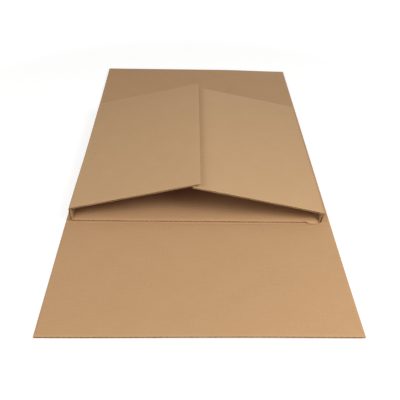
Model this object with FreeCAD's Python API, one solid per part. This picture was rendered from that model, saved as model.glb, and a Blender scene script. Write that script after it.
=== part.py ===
import FreeCAD, Part
import math
import os

# Open cardboard box: a book-wrap shipping box of corrugated board, lying open on a table.
# It is two sheets. A full-width wrap sheet lies flat, and its two ends are the front and back flaps.
# A narrower tray sheet is glued on its middle, with a low wall and a side flap on the left and right.
# Lengths are in millimetres, with X to the right, Y away from the front and Z up.
# The origin is on the table, under the middle of the wrap sheet.

# Corrugated board: two flat facings with a wavy paper between them, whose ridges run along Y.
board = 3.0                # whole thickness
facing = 0.4               # thickness of each flat facing
wave_paper = 0.35          # thickness of the wavy paper
wave_pitch = 6.5           # length of one full wave
wave_contact = 0.9         # width over which a wave is glued to a facing
crushed_rim = 1.2          # least solid board beside a cut edge or a fold

# Wrap sheet
wrap_width = 355.0
front_flap_length = 210.0
back_flap_length = 210.0
crease_width = 2.4         # pressed line that a wrap flap folds on
crease_skin = 0.1          # facing left under that pressed line

# Tray sheet
tray_length = 327.0
tray_to_crease = 2.5       # wrap left flat between the tray's cut edge and a crease
left_margin = 6.2          # wrap that shows beside the foot of the left wall
right_margin = 11.9        # the same on the right: the tray is glued a little off centre
wall_height = 21.2         # outer face, from the foot up to the fold
left_wall_lean = 6.0       # degrees outwards from upright
right_wall_lean = 9.0
side_flap_lap = 17.6       # how far the two side flaps would lap if both lay flat
right_flap_tilt = 11.2     # degrees up from flat, towards the middle
lap_gap = 0.3              # air between the left flap and the edge of the right flap under it
fold_radius = 0.8          # inner radius of a fold


def section_point(x, z):
    return FreeCAD.Vector(x, 0, z)


def direction(degrees):
    angle = math.radians(degrees)
    return section_point(math.cos(angle), math.sin(angle))


# Cut ends of the tray, and creases of the wrap sheet
tray_end = tray_length / 2
crease_y = tray_end + tray_to_crease
crease_depth = facing - crease_skin

# Corners of the tray's outer face in cross-section: feet, folds and the right flap's free edge
left_foot = section_point(left_margin - wrap_width / 2, board)
right_foot = section_point(wrap_width / 2 - right_margin, board)
left_fold = left_foot + direction(90 + left_wall_lean) * wall_height
right_fold = right_foot + direction(90 - right_wall_lean) * wall_height
side_flap_length = (right_fold.x - left_fold.x + side_flap_lap) / 2
right_edge = right_fold + direction(180 - right_flap_tilt) * side_flap_length

# The left flap lies over that edge, which sets its tilt
reach = right_edge - left_fold
left_flap_tilt = math.degrees(math.atan2(reach.z, reach.x) + math.asin((board + lap_gap) / reach.Length))
left_edge = left_fold + direction(left_flap_tilt) * side_flap_length

outer_corners = [left_edge, left_fold, left_foot, right_foot, right_fold, right_edge]


def inward_normal(start, end):
    # Unit vector to the left of the way from start to end, which is the tray's inner side.
    along = (end - start).normalize()
    return section_point(-along.z, along.x)


def offset_corners(corners, distance):
    # The same path moved inwards, with mitred corners.
    normals = [inward_normal(start, end) for start, end in zip(corners, corners[1:])]
    moved = []
    for corner, before, after in zip(corners, normals[:1] + normals, normals + normals[-1:]):
        moved.append(corner + (before + after) * (distance / (1 + before.dot(after))))
    return moved


def arc(start, end, centre):
    radius = (start - centre).Length
    middle = centre + ((start + end) * 0.5 - centre).normalize() * radius
    return Part.Arc(start, middle, end).toShape()


def rounded_panels(corners, radius):
    # The edges of each panel on the path: its straight run, and its half of the arc of each fold beside it.
    panels = []
    panel = []
    start = corners[0]
    for before, corner, after in zip(corners, corners[1:], corners[2:]):
        first_normal = inward_normal(before, corner)
        second_normal = inward_normal(corner, after)
        half_turn = first_normal.getAngle(second_normal) / 2
        inward = (first_normal + second_normal).normalize()
        setback = radius * math.tan(half_turn)
        bend_start = corner + (before - corner).normalize() * setback
        bend_end = corner + (after - corner).normalize() * setback
        centre = corner + inward * (radius / math.cos(half_turn))
        crown = centre - inward * radius
        panel.append(Part.LineSegment(start, bend_start).toShape())
        panel.append(arc(bend_start, crown, centre))
        panels.append(panel)
        panel = [arc(crown, bend_end, centre)]
        start = bend_end
    panel.append(Part.LineSegment(start, corners[-1]).toShape())
    panels.append(panel)
    return panels


def board_cells(start, end):
    # Air cells of one flat panel, as closed outlines. They stand and hang in turn between the facings.
    along = (end - start).normalize()
    inward = inward_normal(start, end)
    length = (end - start).Length
    half_pitch = wave_pitch / 2
    cell_height = board - 2 * facing - wave_paper
    slope = math.atan2(cell_height, half_pitch - wave_contact)
    bend_loss = wave_paper / 2 * math.tan(slope / 2)
    half_base = half_pitch - wave_contact / 2 - bend_loss
    half_top = wave_contact / 2 - bend_loss
    count = int((length - 2 * crushed_rim - 2 * half_base) / half_pitch) + 1
    first = (length - (count - 1) * half_pitch) / 2
    cells = []
    for number in range(count):
        base_level = facing
        top_level = facing + cell_height
        if number % 2:
            base_level = board - facing
            top_level = board - facing - cell_height
        base = start + along * (first + number * half_pitch) + inward * base_level
        top = start + along * (first + number * half_pitch) + inward * top_level
        outline = [base - along * half_base, base + along * half_base]
        outline += [top + along * half_top, top - along * half_top, base - along * half_base]
        cells.append(Part.makePolygon(outline))
    return cells


def panel_solid(outline, cells, front, back):
    # A section of board drawn out along the waves, from Y = front to Y = back.
    face = Part.makeFace([outline] + cells, "Part::FaceMakerCheese")
    solid = face.extrude(FreeCAD.Vector(0, back - front, 0))
    solid.translate(FreeCAD.Vector(0, front, 0))
    return solid


def wrap_panel(front, back):
    # One stretch of the wrap sheet, with half of each pressed crease that it reaches.
    left = section_point(-wrap_width / 2, 0)
    right = section_point(wrap_width / 2, 0)
    top = section_point(0, board)
    outline = Part.makePolygon([left, right, right + top, left + top, left])
    solid = panel_solid(outline, board_cells(left, right), front, back)
    for crease in (-crease_y, crease_y):
        if front <= crease <= back:
            solid = solid.cut(pressed_line(crease))
    return solid


def pressed_line(y):
    # V-shaped groove across the top of the wrap sheet.
    left = FreeCAD.Vector(-wrap_width / 2, y, board)
    half = FreeCAD.Vector(0, crease_width / 2, 0)
    bottom = left - FreeCAD.Vector(0, 0, crease_depth)
    outline = Part.makePolygon([left - half, bottom, left + half, left - half])
    return Part.Face(outline).extrude(FreeCAD.Vector(wrap_width, 0, 0))


def straight_runs(edges):
    return [edge for edge in edges if isinstance(edge.Curve, Part.Line)]


def folded_sheet(outer_panels, inner_panels, ends):
    # Neighbouring panels of the tray sheet as one solid, closed by the two end lines of their section.
    outer_edges = sum(outer_panels, [])
    inner_edges = sum(inner_panels, [])
    outline = Part.Wire(Part.__sortEdges__(outer_edges + inner_edges + ends))
    cells = []
    for run in straight_runs(outer_edges):
        cells += board_cells(run.firstVertex(True).Point, run.lastVertex(True).Point)
    return panel_solid(outline, cells, -tray_end, tray_end)


inner_corners = offset_corners(outer_corners, board)
outer_panels = rounded_panels(outer_corners, fold_radius + board)
inner_panels = rounded_panels(inner_corners, fold_radius)

# The left flap is the first panel. It turns on the crown of its fold, where it meets the left wall.
outer_crown = outer_panels[0][-1].lastVertex(True).Point
inner_crown = inner_panels[0][-1].lastVertex(True).Point
fold_line = Part.LineSegment(outer_crown, inner_crown).toShape()
left_cut = Part.LineSegment(left_edge, inner_corners[0]).toShape()
right_cut = Part.LineSegment(right_edge, inner_corners[-1]).toShape()

pieces = {
    "wrap_middle": wrap_panel(-crease_y, crease_y),
    "front_flap": wrap_panel(-crease_y - front_flap_length, -crease_y),
    "back_flap": wrap_panel(crease_y, crease_y + back_flap_length),
    "tray": folded_sheet(outer_panels[1:], inner_panels[1:], [fold_line, right_cut]),
    "left_flap": folded_sheet(outer_panels[:1], inner_panels[:1], [fold_line, left_cut]),
}

os.makedirs("parts", exist_ok=True)
for name, solid in pieces.items():
    solid.exportStep("parts/" + name + ".step")
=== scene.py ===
import math

import bpy
import numpy as np
from mathutils import Matrix, Vector


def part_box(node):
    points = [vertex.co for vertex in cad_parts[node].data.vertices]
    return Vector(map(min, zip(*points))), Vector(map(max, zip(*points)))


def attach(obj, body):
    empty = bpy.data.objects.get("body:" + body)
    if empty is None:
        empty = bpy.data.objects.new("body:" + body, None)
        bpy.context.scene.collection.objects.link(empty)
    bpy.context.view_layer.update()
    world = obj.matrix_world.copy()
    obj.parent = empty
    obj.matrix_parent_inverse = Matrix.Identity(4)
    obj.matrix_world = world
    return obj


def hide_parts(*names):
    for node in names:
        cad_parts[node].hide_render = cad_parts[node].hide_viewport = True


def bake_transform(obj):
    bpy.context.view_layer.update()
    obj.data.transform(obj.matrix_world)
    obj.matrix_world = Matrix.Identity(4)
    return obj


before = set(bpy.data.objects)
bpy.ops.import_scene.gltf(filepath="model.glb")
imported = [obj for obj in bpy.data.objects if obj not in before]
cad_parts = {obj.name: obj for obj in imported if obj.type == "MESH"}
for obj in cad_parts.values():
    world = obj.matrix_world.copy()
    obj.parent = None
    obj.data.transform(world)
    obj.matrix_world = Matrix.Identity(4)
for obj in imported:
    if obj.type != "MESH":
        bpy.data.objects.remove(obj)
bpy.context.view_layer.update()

# Open cardboard box: a book-wrap shipping box of brown corrugated board, lying open.
# Each sheet is modelled flat, as two kraft facings with a wavy paper between them. The tray sheet is then
# folded up along its fold lines. Lengths are in metres, with X to the right, Y to the back and Z up.

MM = 0.001

# Corrugated board
BOARD = 3.0 * MM                       # whole thickness
FACING = 0.4 * MM                      # flat papers
WAVE_PAPER = 0.35 * MM                 # wavy paper between them
WAVE_PITCH = 6.5 * MM                  # one wave
WAVE_STEPS = 12                        # straight steps that draw one wave
WASHBOARD = 0.02 * MM                  # how far a facing sags between the ridges that it is glued to
GLUED = 0.02 * MM                      # how far a ridge is pressed into the facing
EDGE_CRUSH = 3.0 * MM                  # a cut edge is pinched over this width
EDGE_ROWS = (0.6 * MM, 1.4 * MM, EDGE_CRUSH)     # rows of points beside it that carry the pinch
WRAP_PINCH = (0.85 * MM, 0.15 * MM)    # how far a cut presses in the wrap's upper and lower facing
TRAY_PINCH = (0.5 * MM, 0.4 * MM)      # the same for the tray's inner and outer facing
CRISP_ANGLE = math.radians(50)         # a paper's edges turn by more than this, and stay crisp

# Wrap sheet, as the frame has it
middle_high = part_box("wrap_middle")[1]
half_width = middle_high.x
crease_y = middle_high.y
front_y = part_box("front_flap")[0].y
back_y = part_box("back_flap")[1].y
SEAM_INSET = 4.0 * MM                  # the flap papers run this far in past the crease, under the tray's edge
CREASE_HALF = 2.4 * MM                 # half of the bend across a crease
CREASE_DEPTH = 0.55 * MM               # how deep the scoring wheel pressed it
FRONT_LIFT = 2.4 * MM                  # the sheet is a little warped: its front right corner stands up by this
BACK_LIFT = 2.4 * MM                   # and its back left corner by this
CREASE_ROW_STEP = 0.6 * MM             # rows of points across the bend
FLAP_ROW_STEP = 30 * MM                # and on the rest of a flap
MIDDLE_ROW_STEP = 80 * MM              # and on the flat middle

# Tray sheet
tray_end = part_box("tray")[1].y
LEFT_MARGIN = 6.2 * MM                 # wrap that shows beside the foot of the left wall
RIGHT_MARGIN = 11.9 * MM
WALL_HEIGHT = 21.2 * MM                # outer face, from the foot up to the fold
LEFT_WALL_LEAN = math.radians(6.0)
RIGHT_WALL_LEAN = math.radians(9.0)
SIDE_FLAP_LAP = 17.6 * MM              # how far the two side flaps would lap if both lay flat
RIGHT_FLAP_TILT = math.radians(11.2)
LAP_GAP = 0.3 * MM                     # air under the left flap, where it lies over the right one
FOLD_RADIUS = 0.8 * MM                 # inside of a fold
FOLD_STEPS = 6                         # small turns that make one fold
FOLD_CRUSH = 0.9 * MM                  # inner facing pressed in along a fold line
FOLD_CRUSH_SHARE = 0.9                 # of the fold's width, that it reaches to either side of its middle
TRAY_ROW_STEP = 65 * MM
CORNER_ROWS = (8 * MM, 16 * MM, 30 * MM)         # extra rows that carry the shape of the front corners

# Wear of the tray sheet, read from the photograph
LEFT_FOLD_IN = 2.0 * MM                # the left fold line bows inwards towards the back
LEFT_FOLD_FRONT_SHARE = 0.25           # share of that bow at its front end
LEFT_FOLD_REACH = 1.1 * tray_end       # and how far from the front end the bow is whole
RIGHT_FOLD_DOWN = 1.9 * MM             # the right wall is a little crushed
RIGHT_FOLD_FORWARD = 2.2 * MM          # its front end is pushed forward
FORWARD_REACH = 70 * MM
RIGHT_CORNER_DENT = 1.2 * MM           # and dented from above
DENT_REACH = 30 * MM
DENT_POWER = 6                         # keeps the dent close to the fold
LEFT_CORNER_BULGE = 0.7 * MM           # front end of the left wall, swollen outwards
BULGE_REACH = 14 * MM
LEFT_END_OPEN = 0.9 * MM               # inner facing of the left wall's front end, come away into the tray
RIGHT_END_OPEN = 1.7 * MM              # and of the right wall's
OPEN_REACH = 10 * MM                   # length of wall over which it has come away
BASE_PRESS = 0.7 * MM                  # the base's front cut edge is flattened by this much more
BASE_PRESS_REACH = 5 * MM

# Torn bit of the inner facing at the tray's front right corner
LIP_ROOT = (141 * MM, 161 * MM)        # its left and right sides where it still holds to the base
LIP_TIP = (149 * MM, 160 * MM)         # and at its torn end
LIP_HOLD = 1.0 * MM                    # how far its root lies in from the base's cut edge
LIP_REACH = 3.2 * MM                   # its length, seen from above
LIP_THICKNESS = 0.25 * MM
LIP_RISE = 0.1 * MM                    # its root lies this far above the base
LIP_REST = 0.45 * MM                   # and its tip this far above the wrap
LIP_CURL = 0.5 * MM                    # its left side curls up
LIP_FLAT_SHARE = 0.15                  # of its length, before it bends down

# Paper, in the sizes that show at this distance. Real fibres and fuzz are finer, and are drawn this coarse
# so that they show at all. A pair is the size across the ridges and along them.
CLOUD_SIZE = 38 * MM
STREAK_SIZE = (16 * MM, 1.1 * MM)
FIBRE_SIZE = (2.6 * MM, 0.5 * MM)
FLECK_SIZE = (3.0 * MM, 1.3 * MM)
FUZZ_SIZE = 0.9 * MM
BLOTCH_SIZE = 14 * MM
CLOUD_SHARE = 0.22
STREAK_SHARE = 0.5
FIBRE_SHARE = 0.55
RIDGE_SHARE = 0.012                    # faint lines at the spacing of the ridges
TONE_SPREAD = 0.4                      # the pattern's swing, either way, that goes from dark to pale
FUZZ_SHARE = 0.7
RAW_TONE_SPREAD = 0.3
SHEET_UV = "flat_sheet"


def linear(hex_colour):
    """An sRGB hex colour as linear RGBA."""
    channels = [int(hex_colour[i:i + 2], 16) / 255 for i in (1, 3, 5)]
    return tuple(c / 12.92 if c <= 0.04045 else ((c + 0.055) / 1.055) ** 2.4 for c in channels) + (1.0,)


def add_node(tree, kind, settings=None, inputs=None):
    """Adds one node. An input is a value, or an output socket to link from."""
    made = tree.nodes.new(kind)
    for name, value in (settings or {}).items():
        setattr(made, name, value)
    for name, value in (inputs or {}).items():
        if isinstance(value, bpy.types.NodeSocket):
            tree.links.new(value, made.inputs[name])
        else:
            made.inputs[name].default_value = value
    return made


def new_material(name):
    """A node material with nothing in it yet, and its node tree."""
    material = bpy.data.materials.new(name)
    material.use_nodes = True
    material.node_tree.nodes.clear()
    return material, material.node_tree


def kraft_facing(name, pale, dark, fleck):
    """Kraft liner paper, pressed flat on a paper machine: matt, faintly clouded, with fibres drawn out across
    the ridges, a few dark flecks of bark, and soft darker lines at the spacing of the ridges under it.
    Its pattern follows the flat sheet, in metres, through the UV map that each sheet carries."""
    material, tree = new_material(name)
    sheet = add_node(tree, "ShaderNodeUVMap", {"uv_map": SHEET_UV}).outputs["UV"]
    clouds = add_node(tree, "ShaderNodeTexNoise", {}, {
        "Vector": sheet, "Scale": 1 / CLOUD_SIZE, "Detail": 3.0})
    streak_map = add_node(tree, "ShaderNodeMapping", {}, {
        "Vector": sheet, "Scale": (1 / STREAK_SIZE[0], 1 / STREAK_SIZE[1], 1)})
    streaks = add_node(tree, "ShaderNodeTexNoise", {}, {
        "Vector": streak_map.outputs["Vector"], "Scale": 1.0, "Detail": 4.0})
    fibre_map = add_node(tree, "ShaderNodeMapping", {}, {
        "Vector": sheet, "Scale": (1 / FIBRE_SIZE[0], 1 / FIBRE_SIZE[1], 1)})
    fibres = add_node(tree, "ShaderNodeTexNoise", {}, {
        "Vector": fibre_map.outputs["Vector"], "Scale": 1.0, "Detail": 3.0, "Distortion": 0.6})
    fleck_map = add_node(tree, "ShaderNodeMapping", {}, {
        "Vector": sheet, "Scale": (1 / FLECK_SIZE[0], 1 / FLECK_SIZE[1], 1)})
    fleck_noise = add_node(tree, "ShaderNodeTexNoise", {}, {
        "Vector": fleck_map.outputs["Vector"], "Scale": 1.0, "Detail": 2.0, "Distortion": 1.2})
    flecks = add_node(tree, "ShaderNodeMapRange", {}, {
        "Value": fleck_noise.outputs["Fac"], "From Min": 0.70, "From Max": 0.80})
    across = add_node(tree, "ShaderNodeSeparateXYZ", {}, {"Vector": sheet})
    turns = add_node(tree, "ShaderNodeMath", {"operation": "MULTIPLY"}, {
        0: across.outputs["X"], 1: 2 * math.pi / WAVE_PITCH})
    ridges = add_node(tree, "ShaderNodeMath", {"operation": "COSINE"}, {0: turns.outputs["Value"]})

    # The four patterns added up, each by its share
    cloudy = add_node(tree, "ShaderNodeMath", {"operation": "MULTIPLY"}, {
        0: clouds.outputs["Fac"], 1: CLOUD_SHARE})
    streaky = add_node(tree, "ShaderNodeMath", {"operation": "MULTIPLY_ADD"}, {
        0: streaks.outputs["Fac"], 1: STREAK_SHARE, 2: cloudy.outputs["Value"]})
    fibrous = add_node(tree, "ShaderNodeMath", {"operation": "MULTIPLY_ADD"}, {
        0: fibres.outputs["Fac"], 1: FIBRE_SHARE, 2: streaky.outputs["Value"]})
    ridged = add_node(tree, "ShaderNodeMath", {"operation": "MULTIPLY_ADD"}, {
        0: ridges.outputs["Value"], 1: -RIDGE_SHARE, 2: fibrous.outputs["Value"]})
    middle_tone = (CLOUD_SHARE + STREAK_SHARE + FIBRE_SHARE) / 2
    tone = add_node(tree, "ShaderNodeMapRange", {}, {
        "Value": ridged.outputs["Value"],
        "From Min": middle_tone - TONE_SPREAD, "From Max": middle_tone + TONE_SPREAD})

    # 6 and 7 are the two colours of a Mix node, and its output 2 is the mixed colour
    colour = add_node(tree, "ShaderNodeMix", {"data_type": "RGBA"}, {
        "Factor": tone.outputs["Result"], 6: linear(dark), 7: linear(pale)})
    flecked = add_node(tree, "ShaderNodeMix", {"data_type": "RGBA"}, {
        "Factor": flecks.outputs["Result"], 6: colour.outputs[2], 7: linear(fleck)})
    roughness = add_node(tree, "ShaderNodeMapRange", {}, {
        "Value": fibres.outputs["Fac"], "To Min": 0.74, "To Max": 0.92})
    relief = add_node(tree, "ShaderNodeMath", {"operation": "MULTIPLY_ADD"}, {
        0: streaks.outputs["Fac"], 1: 0.6, 2: fibres.outputs["Fac"]})
    bump = add_node(tree, "ShaderNodeBump", {}, {
        "Height": relief.outputs["Value"], "Strength": 0.35, "Distance": 0.08 * MM})
    shader = add_node(tree, "ShaderNodeBsdfPrincipled", {}, {
        "Base Color": flecked.outputs[2], "Roughness": roughness.outputs["Result"],
        "Normal": bump.outputs["Normal"], "Specular IOR Level": 0.3, "IOR": 1.5})
    add_node(tree, "ShaderNodeOutputMaterial", {}, {"Surface": shader.outputs["BSDF"]})
    return material


def raw_paper(name, pale, dark):
    """Unfinished paper, as the wavy fluting and the cut edges of the board: rough, grey-brown and fuzzy."""
    material, tree = new_material(name)
    place = add_node(tree, "ShaderNodeTexCoord").outputs["Object"]
    fuzz = add_node(tree, "ShaderNodeTexNoise", {}, {"Vector": place, "Scale": 1 / FUZZ_SIZE, "Detail": 4.0})
    blotches = add_node(tree, "ShaderNodeTexNoise", {}, {
        "Vector": place, "Scale": 1 / BLOTCH_SIZE, "Detail": 2.0})
    mixed = add_node(tree, "ShaderNodeMath", {"operation": "MULTIPLY_ADD"}, {
        0: fuzz.outputs["Fac"], 1: FUZZ_SHARE, 2: blotches.outputs["Fac"]})
    middle_tone = (FUZZ_SHARE + 1) / 2
    tone = add_node(tree, "ShaderNodeMapRange", {}, {
        "Value": mixed.outputs["Value"],
        "From Min": middle_tone - RAW_TONE_SPREAD, "From Max": middle_tone + RAW_TONE_SPREAD})
    colour = add_node(tree, "ShaderNodeMix", {"data_type": "RGBA"}, {
        "Factor": tone.outputs["Result"], 6: linear(dark), 7: linear(pale)})
    bump = add_node(tree, "ShaderNodeBump", {}, {
        "Height": fuzz.outputs["Fac"], "Strength": 0.6, "Distance": 0.15 * MM})
    shader = add_node(tree, "ShaderNodeBsdfPrincipled", {}, {
        "Base Color": colour.outputs[2], "Normal": bump.outputs["Normal"],
        "Roughness": 0.95, "Specular IOR Level": 0.2})
    add_node(tree, "ShaderNodeOutputMaterial", {}, {"Surface": shader.outputs["BSDF"]})
    return material


kraft_outside = kraft_facing("kraft_liner_outside", "#c6a37b", "#b58f66", "#866643")
kraft_inside = kraft_facing("kraft_liner_inside", "#c39c73", "#ae875f", "#7d5c3c")
fluting = raw_paper("recycled_fluting_paper", "#ab865e", "#8c6b48")
cut_edge = raw_paper("cut_paper_edge", "#cca97f", "#ae8960")


def smooth(share):
    """Smooth rise from 0 to 1."""
    share = np.clip(share, 0, 1)
    return share * share * (3 - 2 * share)


def falloff(distance, reach):
    """1 at no distance, falling smoothly to 0 at the reach."""
    return smooth(1 - np.abs(distance) / reach)


def rows_between(low, high, step):
    """Evenly spaced places from low to high, about one step apart."""
    count = max(1, round((high - low) / step))
    return [low + (high - low) * i / count for i in range(count + 1)]


def edge_rows(low, high, step, cut_low, cut_high):
    """Rows across a sheet, closer together at the ends that are cut."""
    rows = rows_between(low, high, step)
    if cut_low:
        rows += [low + inset for inset in EDGE_ROWS]
    if cut_high:
        rows += [high - inset for inset in EDGE_ROWS]
    return rows


def in_order(places):
    """Places from low to high, each once, to the nearest thousandth of a millimetre."""
    return sorted(set(round(place, 6) for place in places))


def select_points(piece, chosen):
    """Selects only these points of a mesh, for the next operator in edit mode."""
    bpy.ops.object.mode_set(mode="OBJECT")
    piece.data.polygons.foreach_set("select", np.zeros(len(piece.data.polygons), bool))
    piece.data.edges.foreach_set("select", np.zeros(len(piece.data.edges), bool))
    piece.data.vertices.foreach_set("select", chosen)
    bpy.ops.object.mode_set(mode="EDIT")
    bpy.ops.mesh.select_mode(type="VERT")


def points_of(piece):
    """The mesh's points as an array of rows x, y, z."""
    points = np.empty(len(piece.data.vertices) * 3)
    piece.data.vertices.foreach_get("co", points)
    return points.reshape(-1, 3)


def set_points(piece, points):
    """Moves the mesh's points to these places."""
    piece.data.vertices.foreach_set("co", points.ravel())
    piece.data.update()


def join_pieces(pieces):
    """Joins pieces into the last one."""
    bpy.ops.object.select_all(action="DESELECT")
    for piece in pieces:
        piece.select_set(True)
    bpy.context.view_layer.objects.active = pieces[-1]
    bpy.ops.object.join()


def thicken(piece, thickness):
    """Gives a paper its thickness, half to each side. Its rim takes the second material, the cut edge."""
    sheet = piece.modifiers.new("thickness", "SOLIDIFY")
    sheet.thickness = thickness
    sheet.offset = 0
    sheet.material_offset_rim = 1
    bpy.ops.object.modifier_apply(modifier="thickness")


def paper(name, profile, rows, repeats, thickness, materials):
    """One paper of a board: its section over one wave is drawn out step by step from an edge along Y,
    cut across at the rows, repeated for each wave, and given its thickness."""
    bpy.ops.object.select_all(action="DESELECT")
    length = rows[-1] - rows[0]
    start_x, start_z = profile[0]
    middle = (start_x + length / 2, (rows[0] + rows[-1]) / 2, start_z)
    bpy.ops.mesh.primitive_plane_add(size=length, location=middle)
    piece = bpy.context.object
    piece.name = name
    bpy.ops.object.transform_apply(location=True, rotation=True, scale=True)
    select_points(piece, points_of(piece)[:, 0] > middle[0])
    bpy.ops.mesh.delete(type="VERT")
    bpy.ops.mesh.select_all(action="SELECT")
    for (x, z), (next_x, next_z) in zip(profile, profile[1:]):
        bpy.ops.mesh.extrude_region_move(TRANSFORM_OT_translate={"value": (next_x - x, 0, next_z - z)})
    for y in rows[1:-1]:
        bpy.ops.mesh.select_all(action="SELECT")
        bpy.ops.mesh.bisect(plane_co=(0, y, 0), plane_no=(0, 1, 0))
    bpy.ops.object.mode_set(mode="OBJECT")
    for material in materials:
        piece.data.materials.append(material)
    waves = piece.modifiers.new("waves", "ARRAY")
    waves.count = repeats
    waves.use_relative_offset = False
    waves.use_constant_offset = True
    waves.constant_offset_displace = (profile[-1][0] - start_x, 0, 0)
    waves.use_merge_vertices = True
    waves.merge_threshold = 0.01 * MM
    bpy.ops.object.modifier_apply(modifier="waves")
    thicken(piece, thickness)
    return piece


def lay_out(sheet):
    """Gives the flat sheet a UV map in metres, so that its paper keeps its pattern when it is folded."""
    for layer in list(sheet.data.uv_layers):
        sheet.data.uv_layers.remove(layer)
    layer = sheet.data.uv_layers.new(name=SHEET_UV)
    corners = np.empty(len(sheet.data.loops), int)
    sheet.data.loops.foreach_get("vertex_index", corners)
    layer.data.foreach_set("uv", points_of(sheet)[corners, :2].ravel())


def corrugated_sheet(name, x_low, x_high, rows, z_low):
    """A flat board: lower facing, wavy paper and upper facing, joined into one piece."""
    repeats = round((x_high - x_low) / WAVE_PITCH)
    pitch = (x_high - x_low) / repeats
    height = (BOARD - 2 * FACING - WAVE_PAPER) / 2 + GLUED
    below = []
    wave = []
    above = []
    for step in range(WAVE_STEPS + 1):
        x = x_low + pitch * step / WAVE_STEPS
        swing = math.cos(2 * math.pi * step / WAVE_STEPS)
        below.append((x, z_low + FACING / 2 + WASHBOARD * (1 - swing) / 2))
        wave.append((x, z_low + BOARD / 2 - height * swing))
        above.append((x, z_low + BOARD - FACING / 2 - WASHBOARD * (1 + swing) / 2))
    papers = [
        paper(name + "_below", below, rows, repeats, FACING, [kraft_outside, cut_edge]),
        paper(name + "_wave", wave, rows, repeats, WAVE_PAPER, [fluting, cut_edge]),
        paper(name, above, rows, repeats, FACING, [kraft_inside, cut_edge]),
    ]
    join_pieces(papers)
    sheet = papers[-1]
    bpy.ops.object.mode_set(mode="EDIT")
    bpy.ops.mesh.select_all(action="SELECT")
    bpy.ops.mesh.normals_make_consistent(inside=False)
    bpy.ops.object.mode_set(mode="OBJECT")
    points = points_of(sheet)
    points[:, 0] = np.clip(points[:, 0], x_low, x_high)
    set_points(sheet, points)
    lay_out(sheet)
    return sheet


def pinch_edges(sheet, z_low, pinch, x_cuts=(), y_cuts=()):
    """Crushes the board a little along its cut edges, as the cutting die does."""
    points = points_of(sheet)
    distance = np.full(len(points), EDGE_CRUSH)
    for cut in x_cuts:
        distance = np.minimum(distance, np.abs(points[:, 0] - cut))
    for cut in y_cuts:
        distance = np.minimum(distance, np.abs(points[:, 1] - cut))
    share = (1 - distance / EDGE_CRUSH) ** 2
    level = (points[:, 2] - z_low) / BOARD
    points[:, 2] += share * (pinch[1] * (1 - level) - pinch[0] * level)
    set_points(sheet, points)


def press_crease(sheet, crease):
    """Presses the scored line into the upper facing. What lies deeper in the board moves less."""
    points = points_of(sheet)
    level = np.clip(points[:, 2] / BOARD, 0, 1)
    points[:, 2] -= CREASE_DEPTH * falloff(points[:, 1] - crease, CREASE_HALF) * level
    set_points(sheet, points)


def make_wrap_flap(name, end, crease, lift, lift_from, lift_to):
    """A wrap flap, from its free end to just past the crease that it bends on. Its free end is warped up,
    from nothing at one place across the sheet to the whole lift at another."""
    side = 1 if end > crease else -1
    start = crease + side * CREASE_HALF
    bend = rows_between(crease - CREASE_HALF, crease + CREASE_HALF, CREASE_ROW_STEP)
    free = edge_rows(min(start, end), max(start, end), FLAP_ROW_STEP, end < start, end > start)
    rows = in_order([crease - side * SEAM_INSET] + bend + free)
    sheet = corrugated_sheet(name, -half_width, half_width, rows, 0)
    press_crease(sheet, crease)
    pinch_edges(sheet, 0, WRAP_PINCH, (-half_width, half_width), (end,))
    points = points_of(sheet)
    along = np.clip((points[:, 1] - start) / (end - start), 0, 1)
    points[:, 2] += lift * along ** 2 * smooth((points[:, 0] - lift_from) / (lift_to - lift_from))
    set_points(sheet, points)
    return sheet


# Wrap sheet: three pieces that meet under the tray's cut edges
front_sheet = make_wrap_flap("front_flap_board", front_y, -crease_y, FRONT_LIFT, -half_width, half_width / 2)
back_sheet = make_wrap_flap("back_flap_board", back_y, crease_y, BACK_LIFT, half_width, half_width / 4)
seam_y = crease_y - SEAM_INSET
middle_rows = rows_between(-seam_y, seam_y, MIDDLE_ROW_STEP)
middle_sheet = corrugated_sheet("wrap_middle_board", -half_width, half_width, middle_rows, 0)
pinch_edges(middle_sheet, 0, WRAP_PINCH, (-half_width, half_width))

# Tray sheet in cross-section: its outer face, whose side flaps rest on each other
left_foot = Vector((LEFT_MARGIN - half_width, 0, BOARD))
right_foot = Vector((half_width - RIGHT_MARGIN, 0, BOARD))
left_fold = left_foot + WALL_HEIGHT * Vector((-math.sin(LEFT_WALL_LEAN), 0, math.cos(LEFT_WALL_LEAN)))
right_fold = right_foot + WALL_HEIGHT * Vector((math.sin(RIGHT_WALL_LEAN), 0, math.cos(RIGHT_WALL_LEAN)))
flap_length = (right_fold.x - left_fold.x + SIDE_FLAP_LAP) / 2
right_edge = right_fold + flap_length * Vector((-math.cos(RIGHT_FLAP_TILT), 0, math.sin(RIGHT_FLAP_TILT)))
reach = right_edge - left_fold
left_flap_tilt = math.atan2(reach.z, reach.x) + math.asin((BOARD + LAP_GAP) / reach.length)

# How far it turns at its foot and top folds, and the radius of its middle and outer face there
left_turns = (math.pi / 2 - LEFT_WALL_LEAN, math.pi / 2 + LEFT_WALL_LEAN - left_flap_tilt)
right_turns = (math.pi / 2 - RIGHT_WALL_LEAN, math.pi / 2 + RIGHT_WALL_LEAN - RIGHT_FLAP_TILT)
middle_radius = FOLD_RADIUS + BOARD / 2
outer_radius = FOLD_RADIUS + BOARD


def setback(turn):
    """Outer face that a fold takes from each panel beside it."""
    return outer_radius * math.tan(turn / 2)


def fold_places(foot, side, turns):
    """Flat places of the foot fold, the top fold and the free edge, going outwards from the base panel."""
    top = foot + side * (middle_radius * turns[0] + WALL_HEIGHT - setback(turns[0]) - setback(turns[1]))
    edge = top + side * (middle_radius * turns[1] + flap_length - setback(turns[1]))
    return foot, top, edge


left_places = fold_places(left_foot.x + setback(left_turns[0]), -1, left_turns)
right_places = fold_places(right_foot.x - setback(right_turns[0]), 1, right_turns)


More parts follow.
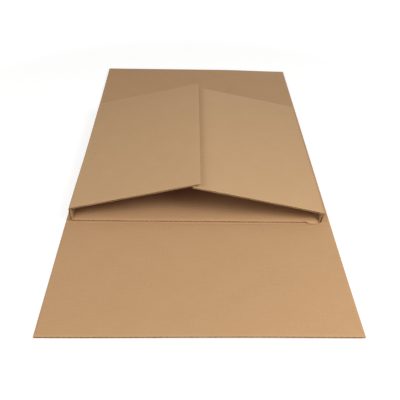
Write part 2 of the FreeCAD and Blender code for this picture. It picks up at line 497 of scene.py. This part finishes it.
def fold_up(sheet, flat_x, place, turn, side):
    """Folds up what lies beyond a place, in small turns about the middle of the board, the outermost first."""
    arc = middle_radius * turn
    for step in reversed(range(FOLD_STEPS)):
        line = place + side * arc * (step + 0.5) / FOLD_STEPS
        select_points(sheet, side * (flat_x - line) > 0)
        bpy.ops.transform.rotate(value=side * turn / FOLD_STEPS, orient_axis="Y", orient_type="GLOBAL",
                                 center_override=(line, 0, BOARD + BOARD / 2))
    bpy.ops.object.mode_set(mode="OBJECT")


def inner_level(points):
    """0 at the outer face of the flat tray sheet, rising to 1 at its inner face."""
    return np.clip((points[:, 2] - BOARD) / BOARD, 0, 1)


def crush_fold(sheet, place, turn, side):
    """Presses the inner facing in along a fold line."""
    points = points_of(sheet)
    arc = middle_radius * turn
    depth = FOLD_CRUSH * falloff(points[:, 0] - place - side * arc / 2, arc * FOLD_CRUSH_SHARE)
    points[:, 2] -= depth * inner_level(points)
    set_points(sheet, points)


def fold_sheet(sheet):
    """Folds a flat piece of the tray sheet along every fold line that it reaches."""
    flat_x = points_of(sheet)[:, 0]
    for places, turns, side in ((left_places, left_turns, -1), (right_places, right_turns, 1)):
        top_then_foot = ((places[1], turns[1]), (places[0], turns[0]))
        for place, turn in top_then_foot:
            crush_fold(sheet, place, turn, side)
        for place, turn in top_then_foot:
            fold_up(sheet, flat_x, place, turn, side)
    settle(sheet, flat_x)


def fold_share(flat_x, places, side):
    """1 at the top fold, falling evenly to 0 at the foot and at the flap's free edge."""
    foot, top, edge = (side * place for place in places)
    beyond = side * flat_x
    return np.clip(np.minimum((beyond - foot) / (top - foot), (edge - beyond) / (edge - top)), 0, 1)


def settle(sheet, flat_x):
    """Gives the folds of the used box their small bows and its crushed corner."""
    points = points_of(sheet)
    left = fold_share(flat_x, left_places, -1)
    right = fold_share(flat_x, right_places, 1)
    from_front = points[:, 1] + tray_end
    bow = LEFT_FOLD_FRONT_SHARE + (1 - LEFT_FOLD_FRONT_SHARE) * smooth(from_front / LEFT_FOLD_REACH)
    points[:, 0] += LEFT_FOLD_IN * left * bow
    points[:, 2] -= RIGHT_FOLD_DOWN * right
    points[:, 1] -= RIGHT_FOLD_FORWARD * right * falloff(from_front, FORWARD_REACH)
    points[:, 2] -= RIGHT_CORNER_DENT * right ** DENT_POWER * falloff(from_front, DENT_REACH)
    on_left_wall = flat_x > left_places[1]
    points[:, 0] -= LEFT_CORNER_BULGE * on_left_wall * 4 * left * (1 - left) * falloff(from_front, BULGE_REACH)
    set_points(sheet, points)


def open_wall_ends(sheet):
    """Lets the walls' inner facing come away from the fluting a little at their front ends."""
    points = points_of(sheet)
    level = inner_level(points)
    near_front = falloff(points[:, 1] + tray_end, OPEN_REACH)
    for places, amount in ((left_places, LEFT_END_OPEN), (right_places, RIGHT_END_OPEN)):
        along = np.clip((points[:, 0] - places[0]) / (places[1] - places[0]), 0, 1)
        points[:, 2] += amount * level * near_front * np.sqrt(4 * along * (1 - along))
    set_points(sheet, points)


def press_base_edge(sheet):
    """Flattens the base's front cut edge, as sliding over it does."""
    points = points_of(sheet)
    from_foot = np.minimum(points[:, 0] - left_places[0], right_places[0] - points[:, 0])
    share = smooth(from_foot / BASE_PRESS_REACH) * falloff(points[:, 1] + tray_end, BASE_PRESS_REACH)
    points[:, 2] -= BASE_PRESS * inner_level(points) * share
    set_points(sheet, points)


def torn_lip():
    """Torn bit of the inner facing. It hangs over the base's cut edge, down to the wrap."""
    bpy.ops.object.select_all(action="DESELECT")
    bpy.ops.mesh.primitive_grid_add(x_subdivisions=12, y_subdivisions=8, size=1)
    lip = bpy.context.object
    lip.name = "torn_lip"
    points = points_of(lip)
    across = points[:, 0] + 0.5
    out = 0.5 - points[:, 1]
    root = LIP_ROOT[0] + (LIP_ROOT[1] - LIP_ROOT[0]) * across
    tip = LIP_TIP[0] + (LIP_TIP[1] - LIP_TIP[0]) * across
    points[:, 0] = root + (tip - root) * out
    points[:, 1] = LIP_HOLD - tray_end - LIP_REACH * out
    set_points(lip, points)
    lay_out(lip)
    # Torn unevenly, by two waves of different length along its end
    ragged = 0.25 * MM * np.sin(across * 23) + 0.2 * MM * np.sin(across * 47 + 1)
    curl = LIP_CURL * np.clip(1 - across * 2.5, 0, 1) ** 2 * out
    root_level = 2 * BOARD + LIP_RISE
    drop = (root_level - BOARD - LIP_REST) * smooth((out - LIP_FLAT_SHARE) / (1 - LIP_FLAT_SHARE))
    points[:, 1] += ragged * out - curl
    points[:, 2] = root_level - drop + curl
    set_points(lip, points)
    lip.data.materials.append(kraft_inside)
    lip.data.materials.append(cut_edge)
    thicken(lip, LIP_THICKNESS)
    return lip


# The tray sheet is made in two pieces, which meet at the left flap's fold
tray_rows = edge_rows(-tray_end, tray_end, TRAY_ROW_STEP, True, True)
tray_rows = in_order(tray_rows + [row - tray_end for row in CORNER_ROWS])
tray_sheet = corrugated_sheet("tray_board", left_places[1], right_places[2], tray_rows, BOARD)
pinch_edges(tray_sheet, BOARD, TRAY_PINCH, (right_places[2],), (-tray_end, tray_end))
open_wall_ends(tray_sheet)
press_base_edge(tray_sheet)
fold_sheet(tray_sheet)
left_sheet = corrugated_sheet("left_flap_board", left_places[2], left_places[1], tray_rows, BOARD)
pinch_edges(left_sheet, BOARD, TRAY_PINCH, (left_places[2],), (-tray_end, tray_end))
fold_sheet(left_sheet)
join_pieces([torn_lip(), tray_sheet])


def finish_board(piece, node):
    """Smooth shading that keeps the paper's edges crisp. The piece then takes the place of its plain solid."""
    bpy.ops.object.select_all(action="DESELECT")
    piece.select_set(True)
    bpy.context.view_layer.objects.active = piece
    bpy.ops.object.shade_smooth_by_angle(angle=CRISP_ANGLE)
    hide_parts(node)


finish_board(front_sheet, "front_flap")
finish_board(back_sheet, "back_flap")
finish_board(middle_sheet, "wrap_middle")
finish_board(tray_sheet, "tray")
finish_board(left_sheet, "left_flap")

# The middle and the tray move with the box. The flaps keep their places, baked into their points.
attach(middle_sheet, "box")
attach(tray_sheet, "box")
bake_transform(front_sheet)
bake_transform(back_sheet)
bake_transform(left_sheet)


def seen_directly(tree):
    """1 where the camera sees the background, straight or in gloss or glass, and 0 where it only lights."""
    rays = add_node(tree, "ShaderNodeLightPath").outputs
    mirrored = add_node(tree, "ShaderNodeMath", {"operation": "MAXIMUM"}, {
        0: rays["Is Camera Ray"], 1: rays["Is Glossy Ray"]})
    seen = add_node(tree, "ShaderNodeMath", {"operation": "MAXIMUM"}, {
        0: mirrored.outputs["Value"], 1: rays["Is Transmission Ray"]})
    return seen.outputs["Value"]


def stage_floor():
    """Plain pale floor. To the camera it is white, with the object's soft shadow left on it near the object."""
    bpy.ops.object.select_all(action="DESELECT")
    bpy.ops.mesh.primitive_plane_add(size=12, location=(0, 0, -0.02 * MM))
    floor = bpy.context.object
    floor.name = "floor"
    material, tree = new_material("matt_white_floor")
    white = add_node(tree, "ShaderNodeBsdfDiffuse", {}, {"Color": linear("#ececea")})
    place = add_node(tree, "ShaderNodeTexCoord").outputs["Object"]
    distance = add_node(tree, "ShaderNodeVectorMath", {"operation": "LENGTH"}, {0: place})
    whiter = add_node(tree, "ShaderNodeMapRange", {"interpolation_type": "SMOOTHSTEP"}, {
        "Value": distance.outputs["Value"],
        "From Min": 0.5, "From Max": 0.9, "To Min": 0.6, "To Max": 1.0})
    share = add_node(tree, "ShaderNodeMath", {"operation": "MULTIPLY"}, {
        0: seen_directly(tree), 1: whiter.outputs["Result"]})
    glow = add_node(tree, "ShaderNodeEmission", {}, {"Color": (1, 1, 1, 1), "Strength": 1.3})
    mixed = add_node(tree, "ShaderNodeMixShader", {}, {
        0: share.outputs["Value"], 1: white.outputs["BSDF"], 2: glow.outputs["Emission"]})
    add_node(tree, "ShaderNodeOutputMaterial", {}, {"Surface": mixed.outputs["Shader"]})
    floor.data.materials.append(material)


def soft_light(name, place, size, power):
    """A square softbox that points at the middle of the object."""
    data = bpy.data.lights.new(name, "AREA")
    data.shape = "SQUARE"
    data.size = size
    data.energy = power
    lamp = bpy.data.objects.new(name, data)
    bpy.context.scene.collection.objects.link(lamp)
    lamp.location = place
    lamp.rotation_euler = (-Vector(place)).to_track_quat("-Z", "Y").to_euler()


def studio_world(ambient):
    """Even ambient light, and white behind the floor where the camera sees it."""
    world = bpy.data.worlds.new("studio")
    bpy.context.scene.world = world
    world.use_nodes = True
    tree = world.node_tree
    tree.nodes.clear()
    dim = add_node(tree, "ShaderNodeBackground", {}, {"Color": (1, 1, 1, 1), "Strength": ambient})
    white = add_node(tree, "ShaderNodeBackground", {}, {"Color": (1, 1, 1, 1), "Strength": 1.0})
    mixed = add_node(tree, "ShaderNodeMixShader", {}, {
        0: seen_directly(tree), 1: dim.outputs["Background"], 2: white.outputs["Background"]})
    add_node(tree, "ShaderNodeOutputWorld", {}, {"Surface": mixed.outputs["Shader"]})


def photo_camera():
    """The camera's place and turn, worked out from the flat sheet's corners in the photograph."""
    data = bpy.data.cameras.new("photo_camera")
    data.sensor_width = 36.0
    data.lens = 57.6
    camera = bpy.data.objects.new("photo_camera", data)
    bpy.context.scene.collection.objects.link(camera)
    place = Matrix.Translation((-0.01321, -0.86622, 0.49878))
    turn = Matrix.Rotation(-0.02088, 4, "Z")
    pitch = Matrix.Rotation(math.pi / 2 - 0.57963, 4, "X")
    roll = Matrix.Rotation(0.02055, 4, "Z")
    camera.matrix_world = place @ turn @ pitch @ roll
    bpy.context.scene.camera = camera


stage_floor()
soft_light("key_front_right", (0.6, -0.7, 0.8), 0.5, 9.0)
soft_light("key_right", (1.0, -0.3, 0.9), 0.8, 3.2)
soft_light("fill_front_left", (-0.9, -1.2, 1.0), 0.8, 9.4)
soft_light("fill_left_low", (-1.3, -0.3, 0.45), 0.8, 2.8)
soft_light("fill_left_high", (-1.0, -0.2, 1.3), 0.8, 3.0)
soft_light("fill_back_low", (0.3, 1.6, 0.22), 0.4, 4.0)
studio_world(0.10)
photo_camera()
bpy.context.scene.view_settings.view_transform = "Standard"
